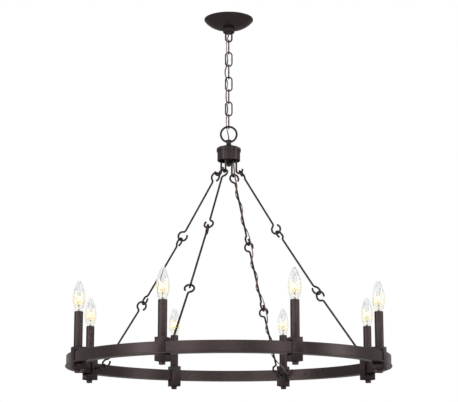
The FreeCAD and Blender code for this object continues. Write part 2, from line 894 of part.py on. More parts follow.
def block_finial():
    """The turned nut under a block."""
    wide = finial_diameter / 2
    neck = finial_neck / 2
    top = block_bottom - seat_gap
    bottom = block_bottom - finial_height
    outline = [
        (0, top),
        (wide - finial_edge / 2, top),
        (wide, top - finial_edge / 2),
        (wide, top - finial_flange),
        (neck, top - finial_flange - finial_edge),
        (neck, bottom + finial_foot_edge),
        (neck - finial_foot_edge, bottom),
        (0, bottom),
    ]
    nut = turned_outline(outline)
    nut = nut.cut(disc(nipple_diameter / 2 + thread_gap, bottom + finial_floor, top + past_face))
    nut.translate(at(rim_centre, 0))
    return nut


def candle_socket():
    """The lamp holder inside a sleeve: a cup for the bulb's base on a threaded foot."""
    outer = socket_diameter / 2
    foot = socket_stem_diameter / 2
    bore = base_diameter / 2 + thread_gap
    thread = nipple_diameter / 2 + thread_gap
    floor = sleeve_top - base_length - seat_gap
    holder = turned_outline(
        [
            (thread, socket_bottom - socket_stem_height),
            (foot, socket_bottom - socket_stem_height),
            (foot, socket_bottom),
            (outer, socket_bottom),
            (outer, socket_top),
            (bore, socket_top),
            (bore, floor),
            (0, floor),
            (0, socket_bottom + socket_thread_depth),
            (thread, socket_bottom + socket_thread_depth),
        ]
    )
    holder.translate(at(rim_centre, 0))
    return holder


def candle_sleeve():
    outer = sleeve_diameter / 2
    tube = ring(outer - sleeve_wall, outer, block_top + seat_gap, sleeve_top)
    tube.translate(at(rim_centre, 0))
    return tube


def swell_radius(r, z, belly, wide):
    """The radius of the arc that leaves the belly upright and passes through (r, z)."""
    inset = wide - r
    return (inset * inset + (z - belly) ** 2) / (2 * inset)


def bulb_skin(inset):
    """Half of the glass's outline, from its foot in the base to its tip, moved in by inset."""
    wide = bulb_diameter / 2
    foot_z = sleeve_top - base_below_sleeve_top
    belly_z = sleeve_top + bulb_belly_height
    tip_z = sleeve_top + bulb_height
    bend_z = tip_z - bulb_tip_height
    lower = swell_radius(base_diameter / 2, foot_z, belly_z, wide)
    upper = swell_radius(bulb_tip_radius, bend_z, belly_z, wide)

    def swell(z, radius):
        return at(wide - radius + math.sqrt((radius - inset) ** 2 - (z - belly_z) ** 2), z)

    foot = swell(foot_z, lower)
    belly = at(wide - inset, belly_z)
    bend = swell(bend_z, upper)
    tip = at(0, tip_z - inset)
    half = bend.x / 2
    round_radius = (bend.x**2 + (tip.z - bend.z) ** 2) / (2 * (tip.z - bend.z))
    round_tip = at(half, tip.z - round_radius + math.sqrt(round_radius**2 - half**2))
    outline = [
        lens_arc(foot, swell((foot_z + belly_z) / 2, lower), belly),
        lens_arc(belly, swell((belly_z + bend_z) / 2, upper), bend),
        lens_arc(bend, round_tip, tip),
    ]
    return outline, foot, tip


def bulb():
    """A torpedo lamp: a thin glass, and the screw base that it is cemented into."""
    outer, outer_foot, outer_tip = bulb_skin(0)
    inner, inner_foot, inner_tip = bulb_skin(bulb_wall)
    edges = [*outer, *lines([outer_tip, inner_tip]), *reversed(inner), *lines([inner_foot, outer_foot])]
    glass = turned(edges)
    base_top = sleeve_top - base_below_sleeve_top
    base_bottom = sleeve_top - base_length
    base = turned_outline(
        [
            (0, base_top),
            (base_diameter / 2, base_top),
            (base_diameter / 2, base_bottom + base_taper),
            (base_contact_diameter / 2, base_bottom),
            (0, base_bottom),
        ]
    )
    lamp = Part.makeCompound([glass, base])
    lamp.translate(at(rim_centre, 0))
    return lamp


# ---- cord ----
def rounded_route(points, name):
    """Straight runs joined by tangent arcs, each as large as the shorter of its two runs allows."""
    edges = []
    radii = []
    length = 0.0
    here = points[0]
    for before, corner, after in zip(points, points[1:], points[2:]):
        trim = arc_share * min((before - corner).Length, (after - corner).Length)
        back = (before - corner).normalize()
        ahead = (after - corner).normalize()
        turn = math.pi - back.getAngle(ahead)
        radius = trim / math.tan(turn / 2)
        leave = corner + back * trim
        meet = corner + ahead * trim
        inward = (back + ahead).normalize()
        middle = corner + inward * (radius / math.cos(turn / 2) - radius)
        edges.append(Part.LineSegment(here, leave).toShape())
        edges.append(arc(leave, middle, meet))
        length += (leave - here).Length + radius * turn
        radii.append(radius)
        here = meet
    edges.append(Part.LineSegment(here, points[-1]).toShape())
    length += (points[-1] - here).Length
    print(name, "length", round(length, 1), "radii", " ".join(str(round(r, 1)) for r in radii))
    return edges, length


def cord(points, name):
    edges, length = rounded_route(points, name)
    tube = swept(edges, cord_diameter)
    whole = math.pi * cord_diameter**2 / 4 * length
    print(name, "volume against section times length", round(tube.Volume / whole, 4))
    return tube


def chain_cord_points():
    return [Vector(*p) for p in chain_cord_route]


def arm_cord_points():
    """Down from the hub, wound round the arm past its eyes, and off to the hole in the rim."""
    angle = arm_angles[arm_names.index(cord_arm)]
    level = Vector(0, 1, 0)

    def beside(number, distance, winding, off):
        along = (junctions[number + 1] - junctions[number]).normalize()
        a = math.radians(winding)
        aside = level * math.cos(a) + along.cross(level) * math.sin(a)
        return junctions[number] + along * distance + aside * off

    exit_angle = hub_cord_angle - angle
    onto_rod, on_rod = arm_cord_onto_rod
    start = arm_cord_start
    points = [polar(hub_cord_radius + r, exit_angle + turn, plate_bottom + z) for r, turn, z in start]
    points.append(beside(0, onto_rod, cord_windings[0], cord_off_eyes))
    points.append(beside(0, on_rod, cord_windings[0], cord_off_crossing))
    for number in range(rods_per_arm):
        span = (junctions[number + 1] - junctions[number]).Length
        start = cord_windings[number]
        wound = cord_windings[number + 1] - start
        steps = round(wound / cord_turn_step)
        free = span - 2 * eye_zone
        for n in range(steps + 1):
            off = cord_off_eyes if n in (0, steps) else cord_off_rod
            points.append(beside(number, eye_zone + free * n / steps, start + wound * n / steps, off))
        if number < rods_per_arm - 1:
            points.append(beside(number, span - crossing_zone, start + wound, cord_off_crossing))
            points.append(beside(number + 1, crossing_zone, start + wound, cord_off_crossing))
    hole_angle = rim_cord_angle - angle
    points += [polar(rim_inner + r, hole_angle * share, rim_middle + z) for r, share, z in arm_cord_end]
    return [turned_point(p, angle) for p in points]


def turned_point(point, angle):
    a = math.radians(angle)
    x = point.x * math.cos(a) - point.y * math.sin(a)
    y = point.x * math.sin(a) + point.y * math.cos(a)
    return Vector(x, y, point.z)


def save_all():
    os.makedirs("parts", exist_ok=True)
    save("ceiling_crossbar", crossbar())
    save("box_screws", box_screws())
    save("ceiling_nipple", ceiling_nipple())
    save("nipple_lock_nut", nipple_lock_nut())
    save("canopy", canopy())
    save("collar_nut", collar_nut())
    save("canopy_loop", canopy_loop())
    for number in range(link_count):
        save("chain_link_" + str(number + 1), chain_link(number))
    save("hub_loop", hub_loop())
    save("hub_cap", hub_cap())
    save("hub_cup", hub_cup())
    save("hook_plate", hook_plate())
    save("hub_finial", hub_finial())
    save("hub_hooks", on_arms(hub_hook()))
    for name, angle in zip(arm_names, arm_angles):
        for number in range(rods_per_arm):
            rod = turned_copy(arm_rod(number, eye_turns[name][number]), angle)
            save("arm_" + name + "_rod_" + str(number + 1), rod)
    save("wheel_rim", wheel_rim())
    save("rim_cover", rim_cover())
    save("splice_plate", splice_plate())
    save("seam_screws", seam_screws())
    save("rim_wiring", rim_wiring())
    save("wheel_eyes", on_arms(wheel_eye()))
    for number, angle in enumerate(candle_angles):
        carries_arm = any(abs((angle - arm) % 360) < 1 for arm in arm_angles)
        save("block_" + str(number + 1), turned_copy(block(carries_arm), angle))
        save("bulb_" + str(number + 1), turned_copy(bulb(), angle))
    save("block_finials", on_candle_circle(block_finial()))
    save("candle_nipples", on_candle_circle(candle_nipple()))
    save("candle_sockets", on_candle_circle(candle_socket()))
    save("candle_sleeves", on_candle_circle(candle_sleeve()))
    save("supply_cord", cord(chain_cord_points(), "supply cord"))
    save("arm_cord", cord(arm_cord_points(), "arm cord"))


save_all()
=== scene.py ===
import bmesh
import bpy
import json
import math
from mathutils import Matrix, Vector


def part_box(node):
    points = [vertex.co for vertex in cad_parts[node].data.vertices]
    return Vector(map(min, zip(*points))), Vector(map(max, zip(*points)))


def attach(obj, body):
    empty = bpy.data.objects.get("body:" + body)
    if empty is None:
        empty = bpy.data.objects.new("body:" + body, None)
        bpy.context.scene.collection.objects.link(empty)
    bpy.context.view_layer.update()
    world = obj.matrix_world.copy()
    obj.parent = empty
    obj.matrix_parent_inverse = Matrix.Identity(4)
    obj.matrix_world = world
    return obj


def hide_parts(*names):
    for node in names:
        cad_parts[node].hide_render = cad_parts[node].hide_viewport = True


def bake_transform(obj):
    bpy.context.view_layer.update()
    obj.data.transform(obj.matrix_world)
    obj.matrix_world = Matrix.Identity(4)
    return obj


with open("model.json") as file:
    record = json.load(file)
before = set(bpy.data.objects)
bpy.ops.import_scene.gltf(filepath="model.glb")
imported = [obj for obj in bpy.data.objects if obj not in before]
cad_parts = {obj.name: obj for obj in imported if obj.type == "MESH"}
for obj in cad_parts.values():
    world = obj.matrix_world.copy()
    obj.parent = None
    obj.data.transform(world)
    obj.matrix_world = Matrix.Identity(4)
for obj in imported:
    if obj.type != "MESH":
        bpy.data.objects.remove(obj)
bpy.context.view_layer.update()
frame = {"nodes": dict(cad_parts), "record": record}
nodes = frame["nodes"]
mm = 0.001


class Wire:  # a socket of a node tree; arithmetic on it adds the Math nodes
    def __init__(self, graph, socket):
        self.graph = graph
        self.socket = socket

    def worked(self, operation, *numbers, clamp=False):
        settings = {"operation": operation, "use_clamp": clamp}
        return self.graph.node("ShaderNodeMath", settings, dict(enumerate(numbers)))

    def __add__(self, other):
        return self.worked("ADD", self, other)

    def __sub__(self, other):
        return self.worked("SUBTRACT", self, other)

    def __mul__(self, other):
        return self.worked("MULTIPLY", self, other)

    def __truediv__(self, other):
        return self.worked("DIVIDE", self, other)

    def __radd__(self, other):
        return self.worked("ADD", other, self)

    def __rsub__(self, other):
        return self.worked("SUBTRACT", other, self)

    def __rmul__(self, other):
        return self.worked("MULTIPLY", other, self)

    def __rtruediv__(self, other):
        return self.worked("DIVIDE", other, self)

    def power(self, other):
        return self.worked("POWER", self, other)

    def sine(self):
        return self.worked("SINE", self)

    def cosine(self):
        return self.worked("COSINE", self)

    def within(self):  # held between 0 and 1
        return self.worked("ADD", self, 0.0, clamp=True)

    def also(self, output):  # another output of the same node
        return Wire(self.graph, self.socket.node.outputs[output])


class Graph:
    def __init__(self, tree):
        self.tree = tree

    def node(self, kind, settings={}, sockets={}, out=0):
        made = self.tree.nodes.new(kind)
        for name, value in settings.items():
            setattr(made, name, value)
        for name, value in sockets.items():
            if isinstance(value, Wire):
                self.tree.links.new(value.socket, made.inputs[name])
            else:
                made.inputs[name].default_value = value
        return Wire(self, made.outputs[out])

    def vector(self, operation, sockets, out=0):
        return self.node("ShaderNodeVectorMath", {"operation": operation}, sockets, out)

    def noise(self, place, scale, detail=2.0, roughness=0.5):
        sockets = {"Vector": place, "Scale": scale, "Detail": detail, "Roughness": roughness}
        return self.node("ShaderNodeTexNoise", {}, sockets)

    def mixed(self, factor, first, second):  # colours
        return self.node("ShaderNodeMix", {"data_type": "RGBA"}, {0: factor, 6: first, 7: second}, 2)

    def bump(self, height, strength, distance, under=None):
        sockets = {"Height": height, "Strength": strength, "Distance": distance}
        if under:
            sockets["Normal"] = under
        return self.node("ShaderNodeBump", {}, sockets)


def newMaterial(name):
    made = bpy.data.materials.new(name)
    made.use_nodes = True
    made.node_tree.nodes.clear()
    return made, Graph(made.node_tree)


def finishMaterial(graph, shader, volume=None):
    end = graph.tree.nodes.new("ShaderNodeOutputMaterial")
    graph.tree.links.new(shader.socket, end.inputs["Surface"])
    if volume:
        graph.tree.links.new(volume.socket, end.inputs["Volume"])


def rgba(colour):
    return (*colour, 1.0)


bronze = {
    "deep": (0.0205, 0.0150, 0.0150),
    "worn": (0.0395, 0.0297, 0.0292),
    "rubbed": (0.1100, 0.0760, 0.0660),
    "metallic": 0.6,
    "roughness": 0.36,
    "cloudScale": 24.0,  # per metre
    "grainScale": 1500.0,
    "castScale": 420.0,
    "edge": 0.9 * mm,
}


def bronzeMaterial(name, cast):
    made, g = newMaterial(name)
    place = g.node("ShaderNodeTexCoord").also("Object")
    cloud = g.noise(place, bronze["cloudScale"], 4.0, 0.6)
    speck = g.noise(place, bronze["grainScale"], 2.0)
    pits = g.noise(place, bronze["castScale"], 3.0, 0.65)
    soft = g.node("ShaderNodeBevel", {"samples": 4}, {"Radius": bronze["edge"]})
    true = g.node("ShaderNodeNewGeometry").also("Normal")
    facing = g.vector("DOT_PRODUCT", {0: soft, 1: true}, "Value")
    edge = ((1.0 - facing) * 5.0 * (cloud * 1.6 - 0.35)).within()  # rubbed where hands and cloths reach
    paint = g.mixed(cloud, rgba(bronze["deep"]), rgba(bronze["worn"]))
    colour = g.mixed(edge * 0.55, paint, rgba(bronze["rubbed"]))
    rough = bronze["roughness"] + (cloud - 0.5) * 0.18 + (speck - 0.5) * 0.10
    grain = g.bump(speck, 0.2 if cast else 0.06, 0.1 * mm)
    relief = g.bump(pits, 0.45, 0.4 * mm, grain) if cast else grain
    sockets = {
        "Base Color": colour,
        "Metallic": bronze["metallic"],
        "Roughness": rough + (0.07 if cast else 0.0),
        "Specular IOR Level": 0.3,
        "Specular Tint": (0.45, 0.40, 0.40, 1.0),
        "Normal": relief,
    }
    finishMaterial(g, g.node("ShaderNodeBsdfPrincipled", {}, sockets))
    return made


def platedSteel(name):
    made, g = newMaterial(name)
    place = g.node("ShaderNodeTexCoord").also("Object")
    spangle = g.node("ShaderNodeTexVoronoi", {}, {"Vector": place, "Scale": 260.0}, "Color")
    bloom = g.noise(place, 90.0, 3.0)
    tint = g.mixed(bloom, (0.46, 0.46, 0.47, 1.0), (0.68, 0.67, 0.63, 1.0))
    flake = g.node("ShaderNodeSeparateColor", {}, {0: spangle})
    rough = 0.24 + bloom * 0.16 + flake * 0.06
    fine = g.bump(g.noise(place, 1800.0), 0.1, 0.1 * mm)
    sockets = {"Base Color": tint, "Metallic": 1.0, "Roughness": rough, "Normal": fine}
    finishMaterial(g, g.node("ShaderNodeBsdfPrincipled", {}, sockets))
    return made


def mouldedPlastic(name, dark, light, roughness):
    made, g = newMaterial(name)
    place = g.node("ShaderNodeTexCoord").also("Object")
    cloud = g.noise(place, 120.0, 3.0)
    skin = g.noise(place, 2400.0)
    sockets = {
        "Base Color": g.mixed(cloud, rgba(dark), rgba(light)),
        "Roughness": roughness + (skin - 0.5) * 0.12,
        "Normal": g.bump(skin, 0.15, 0.1 * mm),
    }
    finishMaterial(g, g.node("ShaderNodeBsdfPrincipled", {}, sockets))
    return made


cordFinish = {
    "jacket": (0.050, 0.027, 0.024),
    "copper": (0.230, 0.130, 0.105),
    "roughness": 0.30,
    "lay": 6.0 * mm,  # one turn of the strands inside
}


def cordMaterial(name):  # clear brown jacket with the copper strands showing through
    made, g = newMaterial(name)
    along = g.node("ShaderNodeUVMap", {"uv_map": "along"})
    parts = g.node("ShaderNodeSeparateXYZ", {}, {0: along})
    across = parts.also("Y")
    strand = ((parts * (1.0 / cordFinish["lay"]) + across * 8.0) * math.tau).sine()
    cloud = g.noise(g.node("ShaderNodeTexCoord").also("Object"), 160.0, 3.0)
    show = ((strand * 0.5 + 0.5).power(2.0) * 0.55 + cloud * 0.35).within()
    sockets = {
        "Base Color": g.mixed(show, rgba(cordFinish["jacket"]), rgba(cordFinish["copper"])),
        "Roughness": cordFinish["roughness"] + (cloud - 0.5) * 0.15,
        "Coat Weight": 0.5,
        "Coat Roughness": 0.12,
        "Normal": g.bump(strand, 0.08, 0.1 * mm),
    }
    finishMaterial(g, g.node("ShaderNodeBsdfPrincipled", {}, sockets))
    return made


glassFinish = {
    "clear": (0.985, 0.987, 0.99),
    # painted reflection: the grey of the streaks and grazing edges
    "reflectionGrey": (0.54, 0.55, 0.58),
    "paintedGlow": (1.0, 0.93, 0.74),
    "glowReach": 13.0 * mm,
    "streakScale": 240.0,
    "streakSquash": 0.06,  # makes the streaks long
    "streakReach": 30.0 * mm,
    "smoke": (0.30, 0.31, 0.33),
    "smokeDensity": 60.0,
}


def glassMaterial(name, glowHeight):  # clear, with a painted warm glow round the filament, painted grey reflection streaks above it and painted grey at the grazing edges
    made, g = newMaterial(name)
    place = g.node("ShaderNodeTexCoord").also("Object")
    parts = g.node("ShaderNodeSeparateXYZ", {}, {0: place})
    rise = parts.also("Z") - glowHeight
    off = rise / glassFinish["glowReach"]
    paintedGlow = 1.0 / (1.0 + off * off * off * off)  # painted glow: the filament's light painted into the glass colour near its height
    squashed = g.vector("MULTIPLY", {0: place, 1: (1.0, 1.0, glassFinish["streakSquash"])})
    streaks = g.noise(squashed, glassFinish["streakScale"], 2.0, 0.6)
    upper = (rise / glassFinish["streakReach"] + 0.15).within()
    grazing = g.node("ShaderNodeLayerWeight", {}, {"Blend": 0.5}, "Facing")
    # painted reflections: grey streaks in the upper glass and grey at the grazing edges
    paintedReflection = (((streaks - 0.5) * 5.0).within() * upper * 0.8 + grazing.power(5.0)).within()
    clear = g.mixed(paintedReflection, rgba(glassFinish["clear"]), rgba(glassFinish["reflectionGrey"]))
    # painted glow: warm tint where the filament's light falls on the glass
    tint = g.mixed(paintedGlow * (1.0 - grazing), clear, rgba(glassFinish["paintedGlow"]))
    sockets = {
        "Base Color": tint,
        "Roughness": 0.0,
        "IOR": 1.46,
        "Transmission Weight": 1.0,
    }
    thin = {"Color": rgba(glassFinish["smoke"]), "Density": glassFinish["smokeDensity"]}
    smoke = g.node("ShaderNodeVolumeAbsorption", {}, thin)
    finishMaterial(g, g.node("ShaderNodeBsdfPrincipled", {}, sockets), smoke)
    return made


def glowMaterial(name):
    made, g = newMaterial(name)
    place = g.node("ShaderNodeTexCoord").also("Object")
    hot = g.noise(place, 300.0)
    glow = g.mixed(hot, (1.0, 0.80, 0.50, 1.0), (1.0, 0.90, 0.68, 1.0))
    sockets = {"Base Color": (0.3, 0.25, 0.2, 1.0), "Emission Color": glow, "Emission Strength": 5.0}
    finishMaterial(g, g.node("ShaderNodeBsdfPrincipled", {}, sockets))
    return made


bronzePaint = bronzeMaterial("bronzePaint", False)
bronzeCast = bronzeMaterial("bronzeCast", True)
zincPlate = platedSteel("zincPlate")
socketPhenolic = mouldedPlastic("socketPhenolic", (0.010, 0.009, 0.009), (0.022, 0.020, 0.019), 0.42)
wireSleeving = mouldedPlastic("wireSleeving", (0.016, 0.014, 0.014), (0.034, 0.030, 0.030), 0.5)
clearJacket = cordMaterial("clearJacket")
slotFinish = {
    "bronze": bronzePaint,
    "plated_steel": zincPlate,
    "socket_plastic": socketPhenolic,
    "wire_insulation": wireSleeving,
    "cord_jacket": clearJacket,
}
slotOf = {row["node"]: row["material_slot"] for row in frame["record"]["subparts"]}
castNodes = ["hub_loop"] + ["block_" + str(n) for n in range(1, 9)]
for nodeName, node in nodes.items():
    finish = bronzeCast if nodeName in castNodes else slotFinish.get(slotOf[nodeName])
    if finish:
        node.data.materials.clear()
        node.data.materials.append(finish)
print("finishes:", len(bpy.data.materials))


def addPiece(name, mesh, finish, smooth=True):
    piece = bpy.data.objects.new(name, mesh)
    bpy.context.scene.collection.objects.link(piece)
    mesh.name = name
    mesh.materials.clear()
    mesh.materials.append(finish)
    mesh.polygons.foreach_set("use_smooth", [smooth] * len(mesh.polygons))
    return piece


def ringedMesh(rings, closed=False, alongs=None):  # a ring of one point closes an end
    shape = bmesh.new()
    made = [[shape.verts.new(point) for point in ring] for ring in rings]
    layer = shape.loops.layers.uv.new("along") if alongs else None
    pairs = list(zip(range(len(made)), range(1, len(made))))
    if closed:
        pairs.append((len(made) - 1, 0))
    for low, high in pairs:
        around = max(len(made[low]), len(made[high]))
        for k in range(around):
            corners = [(low, k), (low, k + 1), (high, k + 1), (high, k)]
            points = [made[ring][place % len(made[ring])] for ring, place in corners]
            if len(set(points)) < 4:
                points = list(dict.fromkeys(points))
            if len(points) > 2:
                face = shape.faces.new(points)
                if layer:
                    for loop, (ring, place) in zip(face.loops, corners):
                        loop[layer].uv = (alongs[ring], place / around)
    bmesh.ops.recalc_face_normals(shape, faces=shape.faces)
    mesh = bpy.data.meshes.new("skin")
    shape.to_mesh(mesh)
    shape.free()
    return mesh


def turnedMesh(outline, around=48, closed=False):  # outline of (radius, height) about the Z axis
    turns = [math.tau * k / around for k in range(around)]
    rings = []
    for r, z in outline:
        rings.append([(r * math.cos(t), r * math.sin(t), z) for t in turns] if r > 1e-7 else [(0, 0, z)])
    return ringedMesh(rings, closed)


def inMetres(outline):
    return [(r * mm, z * mm) for r, z in outline]


def softened(outline, reach, steps=3):  # the corners cut round, at most reach from each corner
    made = []
    for n, corner in enumerate(outline):
        if n in (0, len(outline) - 1):
            made.append(corner)
            continue
        here = Vector(corner)
        before = Vector(outline[n - 1]) - here
        after = Vector(outline[n + 1]) - here
        back = here + before.normalized() * min(reach, before.length * 0.45)
        ahead = here + after.normalized() * min(reach, after.length * 0.45)
        for k in range(steps + 1):
            t = k / steps
            made.append(tuple(back * (1 - t) ** 2 + here * 2 * t * (1 - t) + ahead * t * t))
    return made


def nurbsLine(points, resolution=12):  # points along the smooth line that these control
    curve = bpy.data.curves.new("route", "CURVE")
    curve.dimensions = "3D"
    curve.resolution_u = resolution
    spline = curve.splines.new("NURBS")
    spline.points.add(len(points) - 1)
    for knot, point in zip(spline.points, points):
        knot.co = (*point, 1.0)
    spline.order_u = 3
    spline.use_endpoint_u = True
    carrier = bpy.data.objects.new("route", curve)
    bpy.context.scene.collection.objects.link(carrier)
    traced = meshOf(carrier)
    line = [vertex.co.copy() for vertex in traced.vertices]
    bpy.data.objects.remove(carrier)
    bpy.data.meshes.remove(traced)
    return line


def meshOf(carrier):
    bpy.context.view_layer.update()
    depsgraph = bpy.context.evaluated_depsgraph_get()
    return bpy.data.meshes.new_from_object(carrier.evaluated_get(depsgraph), depsgraph=depsgraph)


def tangents(line):
    return [(line[min(n + 1, len(line) - 1)] - line[max(n - 1, 0)]).normalized() for n in range(len(line))]


def tubeMesh(line, profile, sides, start=0.0):  # profile of (across, out) swept along the line, capped
    rings = [[line[0]]]
    alongs = [start]
    ways = tangents(line)
    for n, (point, way, side) in enumerate(zip(line, ways, sides)):
        up = way.cross(side).normalized()
        rings.append([point + side * x + up * y for x, y in profile])
        alongs.append(alongs[-1] + ((point - line[n - 1]).length if n else 0.0))
    rings.append([line[-1]])
    alongs.append(alongs[-1])
    return ringedMesh(rings, alongs=alongs)


def carriedSides(line, first, twist=0.0):  # carried along without turning, then twisted evenly
    side = first
    sides = []
    gone = 0.0
    for n, way in enumerate(tangents(line)):
        side = (side - way * side.dot(way)).normalized()
        gone += (line[n] - line[n - 1]).length if n else 0.0
        sides.append(Matrix.Rotation(gone * twist, 3, way) @ side)
    return sides


def roundProfile(radius, count=10):
    turns = [math.tau * k / count for k in range(count)]
    return [(radius * math.cos(t), radius * math.sin(t)) for t in turns]


def shapeTree(name, inputs):  # a Geometry Nodes tree with named inputs
    tree = bpy.data.node_groups.new(name, "GeometryNodeTree")
    tree.interface.new_socket("Geometry", in_out="INPUT", socket_type="NodeSocketGeometry")
    tree.interface.new_socket("Geometry", in_out="OUTPUT", socket_type="NodeSocketGeometry")
    for label, kind in {**inputs, "Finish": "Material"}.items():
        tree.interface.new_socket(label, in_out="INPUT", socket_type="NodeSocket" + kind)
    g = Graph(tree)
    entry = g.node("NodeGroupInput")
    return g, entry


def finishShape(g, entry, geometry):
    whole = g.node("GeometryNodeRealizeInstances", {}, {0: geometry})
    finished = g.node("GeometryNodeSetMaterial", {}, {"Geometry": whole, "Material": entry.also("Finish")})
    end = g.tree.nodes.new("NodeGroupOutput")
    g.tree.links.new(finished.socket, end.inputs["Geometry"])
    return g.tree


def grownMesh(tree, sizes, finish, data=None, place=None):  # the tree's result as a plain mesh
    carrier = bpy.data.objects.new("carrier", data or bpy.data.meshes.new("seed"))
    bpy.context.scene.collection.objects.link(carrier)
    modifier = carrier.modifiers.new("shape", "NODES")
    modifier.node_group = tree
    keys = {item.name: item.identifier for item in tree.interface.items_tree if item.in_out == "INPUT"}
    for label, value in {**sizes, "Finish": finish}.items():
        modifier[keys[label]] = value
    mesh = meshOf(carrier)
    carrier.modifiers.clear()
    bpy.data.objects.remove(carrier)
    if place:
        mesh.transform(place)
    return mesh


def windingTree():  # a wire wound round the curve that it is given, or laid along it at radius 0
    lengths = {"Turns": "Float", "Radius": "Float", "Wire": "Float", "Phase": "Float"}
    g, entry = shapeTree("winding", {**lengths, "Steps": "Int", "Sides": "Int"})
    fine = g.node("GeometryNodeResampleCurve", {}, {"Curve": entry, "Count": entry.also("Steps")})
    share = g.node("GeometryNodeSplineParameter")
    angle = (share * entry.also("Turns") + entry.also("Phase")) * math.tau
    normal = g.node("GeometryNodeInputNormal")
    across = g.vector("CROSS_PRODUCT", {0: g.node("GeometryNodeInputTangent"), 1: normal})
    outward = g.vector("SCALE", {0: normal, "Scale": angle.cosine() * entry.also("Radius")})
    aside = g.vector("SCALE", {0: across, "Scale": angle.sine() * entry.also("Radius")})
    offset = g.vector("ADD", {0: outward, 1: aside})
    wound = g.node("GeometryNodeSetPosition", {}, {"Geometry": fine, "Offset": offset})
    girth = {"Resolution": entry.also("Sides"), "Radius": entry.also("Wire")}
    section = g.node("GeometryNodeCurvePrimitiveCircle", {}, girth)
    sweep = {"Curve": wound, "Profile Curve": section, "Fill Caps": True}
    tube = g.node("GeometryNodeCurveToMesh", {}, sweep)
    return finishShape(g, entry, tube)


def roundTree():  # copies of a piece turned about the chain's axis
    g, entry = shapeTree("round", {"Piece": "Object", "Count": "Int", "First": "Float", "Step": "Float"})
    spots = g.node("GeometryNodePoints", {}, {"Count": entry.also("Count")})
    turn = (entry.also("First") + g.node("GeometryNodeInputIndex") * entry.also("Step")) * (math.pi / 180)
    rotation = g.node("ShaderNodeCombineXYZ", {}, {"Z": turn})
    piece = g.node("GeometryNodeObjectInfo", {}, {"Object": entry.also("Piece")}, "Geometry")
    links = {"Points": spots, "Instance": piece, "Rotation": rotation}
    copies = g.node("GeometryNodeInstanceOnPoints", {}, links)
    return finishShape(g, entry, copies)


def beadTree():  # a welded seam: an uneven ring round the wire
    g, entry = shapeTree("bead", {"Wire": "Float", "Bead": "Float", "Roughness": "Float", "Seed": "Float"})
    loop = g.node("GeometryNodeCurvePrimitiveCircle", {}, {"Resolution": 36, "Radius": entry.also("Wire")})
    girth = {"Resolution": 12, "Radius": entry.also("Bead")}
    section = g.node("GeometryNodeCurvePrimitiveCircle", {}, girth)
    ringed = g.node("GeometryNodeCurveToMesh", {}, {"Curve": loop, "Profile Curve": section})
    lumps = {"W": entry.also("Seed"), "Scale": 900.0, "Detail": 2.0}
    noise = g.node("ShaderNodeTexNoise", {"noise_dimensions": "4D"}, lumps)
    lift = (noise - 0.5) * entry.also("Roughness")
    push = g.vector("SCALE", {0: g.node("GeometryNodeInputNormal"), "Scale": lift})
    uneven = g.node("GeometryNodeSetPosition", {}, {"Geometry": ringed, "Offset": push})
    return finishShape(g, entry, uneven)


winding = windingTree()
roundAbout = roundTree()
weldSeam = beadTree()


def straightCurve(points, cyclic=False):  # a poly curve that a winding follows
    curve = bpy.data.curves.new("path", "CURVE")
    curve.dimensions = "3D"
    spline = curve.splines.new("POLY")
    spline.points.add(len(points) - 1)
    for knot, point in zip(spline.points, points):
        knot.co = (*point, 1.0)
    spline.use_cyclic_u = cyclic
    return curve


def woundMesh(path, turns, radius, wire, steps, sides, finish, phase=0.0, place=None):
    sizes = {"Turns": turns, "Radius": radius * mm, "Wire": wire * mm, "Phase": phase}
    return grownMesh(winding, {**sizes, "Steps": steps, "Sides": sides}, finish, path, place)


def copiedRound(name, mesh, finish, count, first, step):
    pattern = bpy.data.objects.new(name + "Pattern", mesh)
    bpy.context.scene.collection.objects.link(pattern)
    sizes = {"Piece": pattern, "Count": count, "First": float(first), "Step": float(step)}
    made = grownMesh(roundAbout, sizes, finish)
    bpy.data.objects.remove(pattern)
    return addPiece(name, made, finish)


def mergedMesh(meshes):
    shape = bmesh.new()
    for mesh in meshes:
        shape.from_mesh(mesh)
    whole = bpy.data.meshes.new("merged")
    shape.to_mesh(whole)
    shape.free()
    return whole


def joined(name, meshes, finish):
    return addPiece(name, mergedMesh(meshes), finish)


photoView = {"place": (0.0007, -4.0778, -1.3944), "pitch": 101.74, "lens": 113.86}
eye = bpy.data.cameras.new("photoView")
eye.sensor_fit = "HORIZONTAL"
eye.sensor_width = 36.0
eye.lens = photoView["lens"]
eye.clip_end = 50.0
viewer = bpy.data.objects.new("photoView", eye)
viewer.location = photoView["place"]
viewer.rotation_euler = (math.radians(photoView["pitch"]), 0.0, 0.0)
bpy.context.scene.collection.objects.link(viewer)
bpy.context.scene.camera = viewer

lead = {
    "width": 4.4 * mm,
    "core": 1.35 * mm,  # radius of each of the two cores under its jacket
    "twist": 26.0,  # radians per metre in the chain
    "coreSteps": 8,
}


def twinProfile():  # two round cores side by side, joined by the jacket's web
    spread = lead["width"] / 2 - lead["core"]
    profile = []
    for side in (0.0, math.pi):
        middle = math.copysign(spread, math.cos(side))
        for k in range(lead["coreSteps"]):
            a = side + math.radians(-135 + 270 * k / (lead["coreSteps"] - 1))
            profile.append((middle + lead["core"] * math.cos(a), lead["core"] * math.sin(a)))
    return profile


